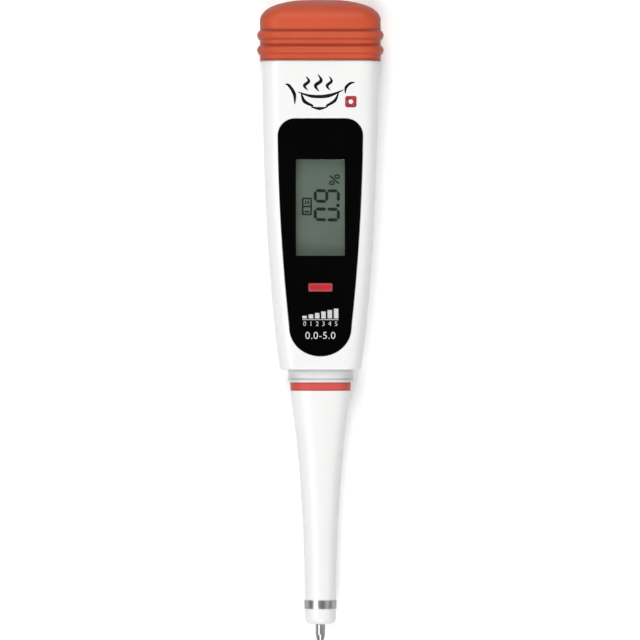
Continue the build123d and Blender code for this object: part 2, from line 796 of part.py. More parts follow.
with BuildPart() as thermistor:
    with BuildSketch(Plane((thermistor_x, thermistor_y, probe_z), x_dir=(1, 0, 0), z_dir=(0, 1, 0))):
        Circle(thermistor_radius)
    extrude(amount=thermistor_length)
    fillet(thermistor.edges().sort_by(Axis.Y)[0], thermistor_radius * 0.6)
save(thermistor, "thermistor")


# Each arc of a lead is as large as its two runs allow
def lead(points):
    radii = []
    for before, corner, after in zip(points, points[1:], points[2:]):
        turn = radians((corner - before).get_angle(after - corner))
        shorter = min((corner - before).length, (after - corner).length)
        radii.append(0.45 * shorter / tan(turn / 2))
    with BuildPart() as cord:
        with BuildLine():
            FilletPolyline(*points, radius=radii)
        with BuildSketch(Plane(origin=points[0], z_dir=points[1] - points[0])):
            Circle(lead_diameter / 2)
        sweep()
    return cord


# A lead leaves the rear face of the board, enters the stem and follows the bore to its end
def lead_points(pad_x, bore_x, low_x, end):
    pad = board_back.from_local_coords(Vector(pad_x, 2 - board_end, -lead_diameter / 2))
    clear = board_back.from_local_coords(Vector(pad_x, -1 - board_end, -lead_diameter / 2))
    return [pad, clear,
            Vector(bore_x, stem_top_y - stem_reach / 2, probe_z - lead_diameter),
            Vector(bore_x, seal_end_y, probe_z - lead_diameter / 2),
            Vector(bore_x, seal_end_y - sleeve_length * 0.4, probe_z),
            Vector(low_x, bore_end_y + socket_depth, probe_z), end]


ring_lead_x = socket_radius - lead_diameter / 2 - fit
ring_lead_end = Vector(-ring_lead_x, sleeve_end_y - electrode_length / 2, probe_z)
save(lead(lead_points(-3.0, -1.7, -2.3, ring_lead_end)), "ring_lead")
pin_lead_end = Vector(0, nose_end_y + pin_inside, probe_z)
save(lead(lead_points(-0.5, -0.4, 0.1, pin_lead_end)), "pin_lead")
thermistor_end = Vector(thermistor_x, thermistor_y + thermistor_length, probe_z)
save(lead(lead_points(3.0, 1.7, 2.2, thermistor_end)), "thermistor_lead")
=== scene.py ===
import bmesh
import bpy
import json
import math
from mathutils import Matrix, Vector


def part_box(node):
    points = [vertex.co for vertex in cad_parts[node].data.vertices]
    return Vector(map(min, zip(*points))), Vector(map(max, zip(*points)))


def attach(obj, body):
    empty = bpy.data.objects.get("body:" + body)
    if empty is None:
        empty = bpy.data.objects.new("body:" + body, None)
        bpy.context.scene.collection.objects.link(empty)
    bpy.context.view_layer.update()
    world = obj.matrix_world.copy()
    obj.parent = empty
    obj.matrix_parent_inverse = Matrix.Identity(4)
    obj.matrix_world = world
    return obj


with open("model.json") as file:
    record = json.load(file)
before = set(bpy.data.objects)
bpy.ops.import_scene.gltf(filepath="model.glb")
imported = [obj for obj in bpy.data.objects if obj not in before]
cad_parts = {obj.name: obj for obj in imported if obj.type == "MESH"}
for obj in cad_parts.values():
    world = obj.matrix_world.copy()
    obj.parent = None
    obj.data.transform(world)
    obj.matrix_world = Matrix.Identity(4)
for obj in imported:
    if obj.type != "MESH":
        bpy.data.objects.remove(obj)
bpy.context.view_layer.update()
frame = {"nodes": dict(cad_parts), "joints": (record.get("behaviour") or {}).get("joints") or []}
nodes = frame["nodes"]
mm = 0.001

# the sloping front face, read from the key, which is pressed straight into it
keyJoint = next(joint for joint in frame["joints"] if joint["name"] == "key_press")
faceOut = -Vector(keyJoint["axis"]).normalized()
faceSpot = Vector(keyJoint["pos_m"])
faceUp = faceOut.cross(Vector((1, 0, 0)))


def onFace(x, y, lift=0.0):
    rise = (y - faceSpot.y) * faceUp.z / faceUp.y
    return Vector((x, y, faceSpot.z + rise)) + faceOut * lift


def faceLevel(name):  # how far a part's highest layer stands out of the face
    return max((vertex.co - faceSpot).dot(faceOut) for vertex in nodes[name].data.vertices)


def middle(name):
    low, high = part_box(name)
    return (Vector(low) + Vector(high)) / 2


# shader parts that several finishes share

def newGroup(name, inputs, outputs):
    group = bpy.data.node_groups.new(name, "ShaderNodeTree")
    for label, kind, value in inputs:
        socket = group.interface.new_socket(label, in_out="INPUT", socket_type=kind)
        if value is not None:
            socket.default_value = value
    for label, kind in outputs:
        group.interface.new_socket(label, in_out="OUTPUT", socket_type=kind)
    return group


def addNode(tree, kind, x, y, **settings):
    node = tree.nodes.new(kind)
    node.location = (x, y)
    for key, value in settings.items():
        setattr(node, key, value)
    return node


def setInputs(node, **values):
    for label, value in values.items():
        node.inputs[label.replace("_", " ")].default_value = value
    return node


def mathNode(tree, operation, x, y, first, second=None, clamp=False):
    node = addNode(tree, "ShaderNodeMath", x, y, operation=operation, use_clamp=clamp)
    for index, value in enumerate((first, second)):
        if value is None:
            continue
        if isinstance(value, (int, float)):
            node.inputs[index].default_value = value
        else:
            tree.links.new(value, node.inputs[index])
    return node.outputs[0]


def rangeNode(tree, x, y, value, fromMin, fromMax, toMin, toMax):
    node = addNode(tree, "ShaderNodeMapRange", x, y)
    ends = {"From Min": fromMin, "From Max": fromMax, "To Min": toMin, "To Max": toMax}
    for label, number in ends.items():
        if isinstance(number, (int, float)):
            node.inputs[label].default_value = number
        else:
            tree.links.new(number, node.inputs[label])
    tree.links.new(value, node.inputs["Value"])
    return node.outputs["Result"]


def makeMouldGrain():  # fine spark-eroded texture of a moulding, with slow flow marks under it
    group = newGroup("mouldGrain",
                     [("Vector", "NodeSocketVector", None), ("Grain Scale", "NodeSocketFloat", 6000.0),
                      ("Flow Scale", "NodeSocketFloat", 60.0), ("Flow Share", "NodeSocketFloat", 0.3)],
                     [("Height", "NodeSocketFloat"), ("Mottle", "NodeSocketFloat")])
    start = addNode(group, "NodeGroupInput", -800, 0)
    end = addNode(group, "NodeGroupOutput", 600, 0)
    fine = setInputs(addNode(group, "ShaderNodeTexNoise", -500, 150), Detail=4.0, Roughness=0.6)
    slow = setInputs(addNode(group, "ShaderNodeTexNoise", -500, -150), Detail=2.0, Roughness=0.5)
    group.links.new(start.outputs["Vector"], fine.inputs["Vector"])
    group.links.new(start.outputs["Vector"], slow.inputs["Vector"])
    group.links.new(start.outputs["Grain Scale"], fine.inputs["Scale"])
    group.links.new(start.outputs["Flow Scale"], slow.inputs["Scale"])
    share = mathNode(group, "MULTIPLY", -200, -150, slow.outputs[0], start.outputs["Flow Share"])
    total = mathNode(group, "ADD", 0, 100, fine.outputs[0], share)
    group.links.new(total, end.inputs["Height"])
    group.links.new(slow.outputs[0], end.inputs["Mottle"])
    return group


def makeEdgeWear():  # edges that hands have polished or scuffed
    group = newGroup("edgeWear",
                     [("Vector", "NodeSocketVector", None), ("Breakup Scale", "NodeSocketFloat", 900.0),
                      ("Amount", "NodeSocketFloat", 1.0)],
                     [("Mask", "NodeSocketFloat")])
    start = addNode(group, "NodeGroupInput", -900, 0)
    end = addNode(group, "NodeGroupOutput", 700, 0)
    bevel = addNode(group, "ShaderNodeBevel", -700, 200, samples=4)
    bevel.inputs["Radius"].default_value = 0.25 * mm
    shape = addNode(group, "ShaderNodeNewGeometry", -700, -50)
    likeness = addNode(group, "ShaderNodeVectorMath", -450, 100, operation="DOT_PRODUCT")
    group.links.new(bevel.outputs[0], likeness.inputs[0])
    group.links.new(shape.outputs["Normal"], likeness.inputs[1])
    edge = rangeNode(group, -200, 100, likeness.outputs["Value"], 0.995, 0.80, 0.0, 1.0)
    breakup = setInputs(addNode(group, "ShaderNodeTexNoise", -450, -200), Detail=5.0, Roughness=0.7)
    group.links.new(start.outputs["Vector"], breakup.inputs["Vector"])
    group.links.new(start.outputs["Breakup Scale"], breakup.inputs["Scale"])
    patches = rangeNode(group, -200, -200, breakup.outputs[0], 0.35, 0.65, 0.25, 1.0)
    worn = mathNode(group, "MULTIPLY", 100, 0, edge, patches)
    group.links.new(mathNode(group, "MULTIPLY", 350, 0, worn, start.outputs["Amount"], clamp=True),
                   end.inputs["Mask"])
    return group


def makeHandling():  # faint smudges and hairline scratches, as a change of roughness
    group = newGroup("handling",
                     [("Vector", "NodeSocketVector", None), ("Smudge Scale", "NodeSocketFloat", 90.0),
                      ("Least Roughness", "NodeSocketFloat", 0.25),
                      ("Most Roughness", "NodeSocketFloat", 0.4)],
                     [("Roughness", "NodeSocketFloat")])
    start = addNode(group, "NodeGroupInput", -900, 0)
    end = addNode(group, "NodeGroupOutput", 700, 0)
    smudge = setInputs(addNode(group, "ShaderNodeTexNoise", -600, 200), Detail=6.0, Roughness=0.55,
                       Distortion=0.6)
    group.links.new(start.outputs["Vector"], smudge.inputs["Vector"])
    group.links.new(start.outputs["Smudge Scale"], smudge.inputs["Scale"])
    turned = addNode(group, "ShaderNodeMapping", -800, -200)
    turned.inputs["Rotation"].default_value = (0.3, 0.2, 0.9)
    turned.inputs["Scale"].default_value = (1.0, 0.03, 1.0)
    group.links.new(start.outputs["Vector"], turned.inputs["Vector"])
    hair = setInputs(addNode(group, "ShaderNodeTexNoise", -600, -200), Scale=2600.0, Detail=2.0)
    group.links.new(turned.outputs[0], hair.inputs["Vector"])
    scratch = rangeNode(group, -300, -200, hair.outputs[0], 0.66, 0.74, 0.0, 1.0)
    rough = rangeNode(group, -300, 200, smudge.outputs[0], 0.3, 0.7, start.outputs["Least Roughness"],
                      start.outputs["Most Roughness"])
    rubbed = mathNode(group, "MULTIPLY", -50, -200, scratch, 0.08)
    group.links.new(mathNode(group, "ADD", 100, 100, rough, rubbed), end.inputs["Roughness"])
    return group


def makeTurnedLines():  # rings that a lathe leaves, across the length of the meter
    group = newGroup("turnedLines",
                     [("Vector", "NodeSocketVector", None), ("Line Scale", "NodeSocketFloat", 9000.0)],
                     [("Height", "NodeSocketFloat"), ("Tone", "NodeSocketFloat")])
    start = addNode(group, "NodeGroupInput", -900, 0)
    end = addNode(group, "NodeGroupOutput", 500, 0)
    squeezed = addNode(group, "ShaderNodeMapping", -650, 0)
    squeezed.inputs["Scale"].default_value = (0.02, 1.0, 0.02)
    lines = setInputs(addNode(group, "ShaderNodeTexNoise", -400, 100), Detail=3.0, Roughness=0.6)
    spots = setInputs(addNode(group, "ShaderNodeTexNoise", -400, -200), Scale=400.0, Detail=4.0)
    group.links.new(start.outputs["Vector"], squeezed.inputs["Vector"])
    group.links.new(squeezed.outputs[0], lines.inputs["Vector"])
    group.links.new(start.outputs["Line Scale"], lines.inputs["Scale"])
    group.links.new(start.outputs["Vector"], spots.inputs["Vector"])
    tone = mathNode(group, "ADD", 0, -100, mathNode(group, "MULTIPLY", -150, 0, lines.outputs[0], 0.5),
                    mathNode(group, "MULTIPLY", -150, -200, spots.outputs[0], 0.5))
    group.links.new(lines.outputs[0], end.inputs["Height"])
    group.links.new(tone, end.inputs["Tone"])
    return group


def makeShadeLine():  # a soft line of painted shade across the length of the meter, at creases and rims
    group = newGroup("shadeLineAcross",
                     [("Vector", "NodeSocketVector", None), ("Place", "NodeSocketFloat", 0.0),
                      ("Half Width", "NodeSocketFloat", 0.0003), ("Share", "NodeSocketFloat", 0.5)],
                     [("Mask", "NodeSocketFloat")])
    start = addNode(group, "NodeGroupInput", -900, 0)
    end = addNode(group, "NodeGroupOutput", 500, 0)
    parts = addNode(group, "ShaderNodeSeparateXYZ", -700, 0)
    group.links.new(start.outputs["Vector"], parts.inputs[0])
    away = mathNode(group, "ABSOLUTE", -300, 0, mathNode(group, "SUBTRACT", -500, 0, parts.outputs["Y"],
                                                        start.outputs["Place"]))
    near = rangeNode(group, -50, 0, away, 0.0, start.outputs["Half Width"], 1.0, 0.0)
    group.links.new(mathNode(group, "MULTIPLY", 250, 0, near, start.outputs["Share"], clamp=True),
                   end.inputs["Mask"])
    return group


def makePaintedSideShade():  # upright surfaces, which stand across the meter's face, where shade is painted
    group = newGroup("sideMask",
                     [("Normal", "NodeSocketVector", None), ("Upright", "NodeSocketFloat", 0.15),
                      ("Level", "NodeSocketFloat", 0.85)],
                     [("Mask", "NodeSocketFloat")])
    start = addNode(group, "NodeGroupInput", -700, 0)
    end = addNode(group, "NodeGroupOutput", 300, 0)
    parts = addNode(group, "ShaderNodeSeparateXYZ", -500, 0)
    group.links.new(start.outputs["Normal"], parts.inputs[0])
    facing = mathNode(group, "ABSOLUTE", -300, 0, parts.outputs["Z"])
    mask = rangeNode(group, -50, 0, facing, start.outputs["Level"], start.outputs["Upright"], 0.0, 1.0)
    group.links.new(mask, end.inputs["Mask"])
    return group


mouldGrain = makeMouldGrain()
edgeWear = makeEdgeWear()
handling = makeHandling()
turnedLines = makeTurnedLines()
shadeLineAcross = makeShadeLine()
sideMask = makePaintedSideShade()
print("shader groups:", len(bpy.data.node_groups))


def placeGroup(tree, group, x, y, **values):
    node = addNode(tree, "ShaderNodeGroup", x, y, node_tree=group)
    for label, value in values.items():
        node.inputs[label.replace("_", " ")].default_value = value
    return node


def placeHandling(tree, y, scale, rough):
    return placeGroup(tree, handling, -1200, y, Smudge_Scale=scale, Least_Roughness=rough[0],
                      Most_Roughness=rough[1])


def newFinish(name):
    material = bpy.data.materials.new(name)
    material.use_nodes = True
    tree = material.node_tree
    shader = tree.nodes["Principled BSDF"]
    place = addNode(tree, "ShaderNodeTexCoord", -1500, 0)
    return material, tree, shader, place.outputs["Object"]


def mixColour(tree, x, y, factor, first, second):
    node = addNode(tree, "ShaderNodeMix", x, y, data_type="RGBA")
    tree.links.new(factor, node.inputs["Factor"])
    for index, value in ((6, first), (7, second)):
        if isinstance(value, tuple):
            node.inputs[index].default_value = (*value, 1.0)
        else:
            tree.links.new(value, node.inputs[index])
    return node.outputs[2]


def paintSideShade(tree, place, colour, side):  # painted shade: upright sides are a little deeper in colour than faces
    shadedSides = placeGroup(tree, sideMask, -1200, 500)
    tree.links.new(place.node.outputs["Normal"], shadedSides.inputs["Normal"])
    return mixColour(tree, -200, 400, shadedSides.outputs["Mask"], colour, side)


def bumpNode(tree, x, y, height, strength, distance):
    node = setInputs(addNode(tree, "ShaderNodeBump", x, y), Strength=strength, Distance=distance)
    tree.links.new(height, node.inputs["Height"])
    return node.outputs[0]


# moulded plastics and rubbers

# a finish's side colour is painted shade on its upright sides
mouldedFinishes = {
    "capOrange": {"colour": (0.475, 0.068, 0.024), "dark": (0.44, 0.058, 0.020),
                  "worn": (0.50, 0.085, 0.035), "side": (0.26, 0.045, 0.022), "rough": (0.46, 0.54),
                  "grain": 5200.0, "bump": 0.15, "wear": 0.4, "specular": 0.22,
                  "shadeLineColour": (0.17, 0.014, 0.005),
                  # painted shade lines at creases and edges: part, its low or high end, distance from that
                  # end, half width, share
                  "shadeLines": [("top_cap", 1, -8.45, 0.65, 0.75), ("top_cap", 1, -12.4, 0.65, 0.8),
                            ("top_cap", 0, 0.1, 0.55, 0.7), ("top_cap", 1, -11.0, 0.4, 0.25)]},
    "shellWhite": {"colour": (0.675, 0.675, 0.67), "dark": (0.665, 0.665, 0.66),
                   "worn": (0.69, 0.69, 0.68), "side": (0.58, 0.58, 0.58), "rough": (0.30, 0.33),
                   "grain": 5200.0, "bump": 0.04, "wear": 0.4, "specular": 0.4},
    "panelBlack": {"colour": (0.0010, 0.0010, 0.0012), "dark": (0.0007, 0.0007, 0.0008),
                   "worn": (0.006, 0.006, 0.006), "rough": (0.16, 0.24), "grain": 2600.0,
                   "bump": 0.02, "wear": 0.6, "specular": 0.04},
    "keyRed": {"colour": (0.42, 0.008, 0.015), "dark": (0.39, 0.007, 0.013),
               "worn": (0.40, 0.03, 0.035), "rough": (0.38, 0.5), "grain": 6500.0,
               "bump": 0.15, "wear": 0.6, "specular": 0.25},
    "collarGrey": {"colour": (0.60, 0.60, 0.595), "dark": (0.58, 0.58, 0.58),
                   "worn": (0.60, 0.60, 0.60), "side": (0.46, 0.465, 0.465), "rough": (0.3, 0.42),
                   "grain": 5200.0, "bump": 0.08, "wear": 0.5, "specular": 0.4,
                   "shadeLineColour": (0.24, 0.28, 0.28),
                   "shadeLines": [("neck_collar", 0, 0.35, 0.42, 0.9), ("neck_collar", 1, -0.25, 0.45, 0.6)]},
    "sealRed": {"colour": (0.50, 0.070, 0.056), "dark": (0.46, 0.056, 0.045),
                "worn": (0.53, 0.09, 0.07), "side": (0.34, 0.035, 0.03), "rough": (0.42, 0.55),
                "grain": 7000.0, "bump": 0.25, "wear": 0.2, "specular": 0.25,
                "shadeLineColour": (0.22, 0.02, 0.02),
                "shadeLines": [("seal_ring", 0, 0.05, 0.4, 0.7), ("seal_ring", 1, -0.05, 0.4, 0.7)]},
    "gasketDark": {"colour": (0.02, 0.02, 0.02), "dark": (0.012, 0.012, 0.012),
                   "worn": (0.07, 0.07, 0.07), "rough": (0.5, 0.7), "grain": 7000.0,
                   "bump": 0.3, "wear": 0.6, "specular": 0.3},
    "trayWhite": {"colour": (0.72, 0.72, 0.70), "dark": (0.66, 0.66, 0.64),
                  "worn": (0.8, 0.8, 0.78), "rough": (0.4, 0.52), "grain": 4200.0,
                  "bump": 0.15, "wear": 0.6, "specular": 0.4},
    "holderBlack": {"colour": (0.02, 0.02, 0.022), "dark": (0.014, 0.014, 0.015),
                    "worn": (0.08, 0.08, 0.08), "rough": (0.45, 0.6), "grain": 4200.0,
                    "bump": 0.2, "wear": 0.5, "specular": 0.4},
    "chipBlack": {"colour": (0.015, 0.015, 0.016), "dark": (0.01, 0.01, 0.011),
                  "worn": (0.05, 0.05, 0.05), "rough": (0.5, 0.65), "grain": 9000.0,
                  "bump": 0.35, "wear": 0.4, "specular": 0.4},
    "ceramicTan": {"colour": (0.38, 0.27, 0.17), "dark": (0.30, 0.21, 0.13),
                   "worn": (0.5, 0.4, 0.28), "rough": (0.35, 0.5), "grain": 9000.0,
                   "bump": 0.2, "wear": 0.4, "specular": 0.5},
    "wireRed": {"colour": (0.50, 0.03, 0.025), "dark": (0.42, 0.02, 0.02),
                "worn": (0.6, 0.12, 0.1), "rough": (0.35, 0.45), "grain": 6000.0,
                "bump": 0.1, "wear": 0.2, "specular": 0.4},
}
# what all of them share
mouldedSurface = {"flowScale": 45.0, "flowShare": 0.4, "breakupScale": 700.0, "smudgeScale": 80.0,
                  "bumpDepth": 0.02}


def mouldedPlastic(name, look):
    material, tree, shader, place = newFinish(name)
    surface = mouldedSurface
    grain = placeGroup(tree, mouldGrain, -1200, -300, Grain_Scale=look["grain"],
                       Flow_Scale=surface["flowScale"], Flow_Share=surface["flowShare"])
    wear = placeGroup(tree, edgeWear, -1200, 100, Breakup_Scale=surface["breakupScale"],
                      Amount=look["wear"])
    hands = placeHandling(tree, -600, surface["smudgeScale"], look["rough"])
    for node in (grain, wear, hands):
        tree.links.new(place, node.inputs["Vector"])
    mottle = rangeNode(tree, -900, 300, grain.outputs["Mottle"], 0.35, 0.65, 0.0, 1.0)
    body = mixColour(tree, -650, 300, mottle, look["dark"], look["colour"])
    worn = mixColour(tree, -400, 250, wear.outputs["Mask"], body, look["worn"])
    # painted shade lines: in the cap's creases and at its lower edge, under the body and at the collar's
    # lower edge, and at the seal ring's edges
    for step, (node, end, offset, width, share) in enumerate(look.get("shadeLines", [])):
        shadeLine = placeGroup(tree, shadeLineAcross, -1200, 700 + 250 * step,
                          Place=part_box(node)[end][1] + offset * mm, Half_Width=width * mm, Share=share)
        tree.links.new(place, shadeLine.inputs["Vector"])
        worn = mixColour(tree, -300 + 150 * step, 700, shadeLine.outputs["Mask"], worn, look["shadeLineColour"])
    # paints shade on upright sides with the finish's side colour
    if "side" in look:
        worn = paintSideShade(tree, place, worn, look["side"])
    tree.links.new(worn, shader.inputs["Base Color"])
    tree.links.new(hands.outputs["Roughness"], shader.inputs["Roughness"])
    bumped = bumpNode(tree, -400, -300, grain.outputs["Height"], look["bump"], surface["bumpDepth"] * mm)
    tree.links.new(bumped, shader.inputs["Normal"])
    setInputs(shader, Specular_IOR_Level=look["specular"])
    return material


finishes = {name: mouldedPlastic(name, look) for name, look in mouldedFinishes.items()}

# metals

# the electrode steel's side colour is painted shade on its upright sides
metalFinishes = {
    "electrodeSteel": {"bright": (0.46, 0.46, 0.455), "dull": (0.34, 0.34, 0.34), "rough": (0.30, 0.38),
                       "lines": 5000.0, "bump": 0.2, "side": (0.14, 0.14, 0.14)},
    "cellSteel": {"bright": (0.74, 0.735, 0.72), "dull": (0.60, 0.60, 0.59), "rough": (0.22, 0.36),
                  "lines": 3000.0, "bump": 0.08},
    "contactNickel": {"bright": (0.72, 0.69, 0.62), "dull": (0.58, 0.55, 0.48), "rough": (0.18, 0.32),
                      "lines": 5000.0, "bump": 0.08},
    "screwZinc": {"bright": (0.56, 0.57, 0.58), "dull": (0.38, 0.39, 0.40), "rough": (0.3, 0.48),
                  "lines": 7000.0, "bump": 0.15},
    "foilSilver": {"bright": (0.68, 0.70, 0.66), "dull": (0.60, 0.62, 0.58), "rough": (0.4, 0.5),
                   "lines": 2000.0, "bump": 0.05},
}
metalSurface = {"worn": (0.82, 0.82, 0.81), "wear": 0.6, "breakupScale": 1200.0, "smudgeScale": 200.0,
                "bumpDepth": 0.01}


def turnedMetal(name, look):
    material, tree, shader, place = newFinish(name)
    surface = metalSurface
    lines = placeGroup(tree, turnedLines, -1200, 0, Line_Scale=look["lines"])
    wear = placeGroup(tree, edgeWear, -1200, 300, Breakup_Scale=surface["breakupScale"],
                      Amount=surface["wear"])
    hands = placeHandling(tree, -400, surface["smudgeScale"], look["rough"])
    for node in (lines, wear, hands):
        tree.links.new(place, node.inputs["Vector"])
    tone = rangeNode(tree, -900, 0, lines.outputs["Tone"], 0.35, 0.65, 0.0, 1.0)
    body = mixColour(tree, -650, 100, tone, look["dull"], look["bright"])
    worn = mixColour(tree, -400, 200, wear.outputs["Mask"], body, surface["worn"])
    # paints shade on upright sides with the finish's side colour
    if "side" in look:
        worn = paintSideShade(tree, place, worn, look["side"])
    tree.links.new(worn, shader.inputs["Base Color"])
    tree.links.new(hands.outputs["Roughness"], shader.inputs["Roughness"])
    bumped = bumpNode(tree, -400, -300, lines.outputs["Height"], look["bump"], surface["bumpDepth"] * mm)
    tree.links.new(bumped, shader.inputs["Normal"])
    setInputs(shader, Metallic=1.0)
    return material


finishes.update({name: turnedMetal(name, look) for name, look in metalFinishes.items()})

# circuit board

boardLook = {"mask": (0.012, 0.105, 0.045), "trace": (0.03, 0.17, 0.07), "rough": (0.28, 0.4),
             "traceScale": 420.0, "smudgeScale": 100.0, "bump": 0.2, "bumpDepth": 0.03}


def boardMask(name, look):
    material, tree, shader, place = newFinish(name)
    tracks = addNode(tree, "ShaderNodeTexBrick", -1200, 200)
    setInputs(tracks, Scale=look["traceScale"], Mortar_Size=0.03, Brick_Width=1.6, Row_Height=0.35)
    tree.links.new(place, tracks.inputs["Vector"])
    colour = mixColour(tree, -700, 200, tracks.outputs["Fac"], look["mask"], look["trace"])
    hands = placeHandling(tree, -500, look["smudgeScale"], look["rough"])
    tree.links.new(place, hands.inputs["Vector"])
    tree.links.new(colour, shader.inputs["Base Color"])
    tree.links.new(hands.outputs["Roughness"], shader.inputs["Roughness"])
    bumped = bumpNode(tree, -400, -300, tracks.outputs["Fac"], look["bump"], look["bumpDepth"] * mm)
    tree.links.new(bumped, shader.inputs["Normal"])
    return material


finishes["boardGreen"] = boardMask("boardGreen", boardLook)

# display and its window

# the display's edge colour, with the border widths and share, paints light along its left and upper
# borders; low to tone paints it a little lighter towards its upper end
displayLook = {"tone": (0.050, 0.068, 0.056), "low": (0.052, 0.064, 0.055),
               "edge": (0.064, 0.069, 0.060), "litBorderLeft": 1.6, "litBorderTop": 1.4, "litBorderShare": 0.55,
               "rough": (0.5, 0.56), "grain": 9000.0, "flowScale": 120.0, "smudgeScale": 60.0,
               "bump": 0.04, "bumpDepth": 0.01, "specular": 0.05}
windowLook = {"colour": (0.97, 0.975, 0.97), "shadow": (0.96, 0.97, 0.96), "index": 1.2, "specular": 0.08,
              "rough": (0.0, 0.03), "smudgeScale": 70.0}


def displaySurface(name, look):  # grey-green, with painted light: a little lighter towards its upper end, and lighter and warmer along its left and upper borders
    material, tree, shader, place = newFinish(name)
    low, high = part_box("window_lens")
    parts = addNode(tree, "ShaderNodeSeparateXYZ", -1250, 200)
    tree.links.new(place, parts.inputs[0])
    leftEnd, topStart = low[0] + look["litBorderLeft"] * mm, high[1] - look["litBorderTop"] * mm
    litLeftBorder = rangeNode(tree, -1000, 300, parts.outputs["X"], low[0], leftEnd, 1.0, 0.0)
    litTopBorder = rangeNode(tree, -1000, 100, parts.outputs["Y"], topStart, high[1], 0.0, 1.0)
    paintedLightBorder = mathNode(tree, "MAXIMUM", -800, 200, litLeftBorder, litTopBorder, clamp=True)
    length = rangeNode(tree, -1000, -100, parts.outputs["Y"], low[1], high[1], 0.0, 1.0)
    paintedLightSlope = mixColour(tree, -650, 0, length, look["low"], look["tone"])
    share = mathNode(tree, "MULTIPLY", -600, 250, paintedLightBorder, look["litBorderShare"])
    colour = mixColour(tree, -400, 100, share, paintedLightSlope, look["edge"])
    grain = placeGroup(tree, mouldGrain, -1250, -350, Grain_Scale=look["grain"],
                       Flow_Scale=look["flowScale"], Flow_Share=0.5)
    hands = placeHandling(tree, -600, look["smudgeScale"], look["rough"])
    tree.links.new(place, grain.inputs["Vector"])
    tree.links.new(place, hands.inputs["Vector"])
    tree.links.new(colour, shader.inputs["Base Color"])
    tree.links.new(hands.outputs["Roughness"], shader.inputs["Roughness"])
    bumped = bumpNode(tree, -400, -300, grain.outputs["Height"], look["bump"], look["bumpDepth"] * mm)
    tree.links.new(bumped, shader.inputs["Normal"])
    setInputs(shader, Specular_IOR_Level=look["specular"])
    return material


def clearWindow(name, look):  # lets lamps through to the display, and a low index weakens their reflection
    material, tree, shader, place = newFinish(name)
    setInputs(shader, Transmission_Weight=1.0, IOR=look["index"], Specular_IOR_Level=look["specular"])
    shader.inputs["Base Color"].default_value = (*look["colour"], 1.0)
    hands = placeHandling(tree, -300, look["smudgeScale"], look["rough"])
    tree.links.new(place, hands.inputs["Vector"])
    tree.links.new(hands.outputs["Roughness"], shader.inputs["Roughness"])
    path = addNode(tree, "ShaderNodeLightPath", 100, 400)
    through = addNode(tree, "ShaderNodeBsdfTransparent", 100, -200)
    through.inputs[0].default_value = (*look["shadow"], 1.0)
    mix = addNode(tree, "ShaderNodeMixShader", 400, 200)
    tree.links.new(path.outputs["Is Shadow Ray"], mix.inputs[0])
    tree.links.new(shader.outputs[0], mix.inputs[1])
    tree.links.new(through.outputs[0], mix.inputs[2])
    tree.links.new(mix.outputs[0], tree.nodes["Material Output"].inputs["Surface"])
    return material


finishes["displayGrey"] = displaySurface("displayGrey", displayLook)
finishes["windowClear"] = clearWindow("windowClear", windowLook)

# printed inks, the seam's grey, and the painted highlight on the key's rim

inkLooks = {
    "displayInk": {"colour": (0.002, 0.004, 0.003), "thin": (0.005, 0.009, 0.006), "rough": 0.4},
    "printWhite": {"colour": (0.50, 0.50, 0.50), "thin": (0.40, 0.40, 0.40), "rough": 0.45},
    "printBlack": {"colour": (0.003, 0.003, 0.003), "thin": (0.010, 0.010, 0.010), "rough": 0.4},
    "printRed": {"colour": (0.25, 0.022, 0.030), "thin": (0.40, 0.06, 0.07), "rough": 0.45},
    "seamGrey": {"colour": (0.16, 0.16, 0.16), "thin": (0.24, 0.24, 0.24), "rough": 0.7},
    # the key's rim finish is a painted highlight, not ink
    "keyRimHighlight": {"colour": (0.27, 0.055, 0.065), "thin": (0.31, 0.075, 0.085), "rough": 0.5},
}
inkSurface = {"coverScale": 1800.0, "bump": 0.1, "bumpDepth": 0.01, "specular": 0.08}


def printedInk(name, look):  # thinner in places, as pad printing is
    material, tree, shader, place = newFinish(name)
    cover = addNode(tree, "ShaderNodeTexNoise", -1200, 0)
    setInputs(cover, Scale=inkSurface["coverScale"], Detail=4.0, Roughness=0.6)
    tree.links.new(place, cover.inputs["Vector"])
    patchy = rangeNode(tree, -950, 0, cover.outputs[0], 0.35, 0.55, 0.0, 1.0)
    tree.links.new(mixColour(tree, -650, 100, patchy, look["thin"], look["colour"]),
                   shader.inputs["Base Color"])
    tree.links.new(rangeNode(tree, -650, -100, cover.outputs[0], 0.3, 0.7, look["rough"] + 0.1,
                             look["rough"] - 0.05), shader.inputs["Roughness"])
    bumped = bumpNode(tree, -400, -300, cover.outputs[0], inkSurface["bump"], inkSurface["bumpDepth"] * mm)
    tree.links.new(bumped, shader.inputs["Normal"])
    setInputs(shader, Specular_IOR_Level=inkSurface["specular"])
    return material


finishes.update({name: printedInk(name, look) for name, look in inkLooks.items()})
print("finishes:", len(finishes))

# which finish each part of the meter wears

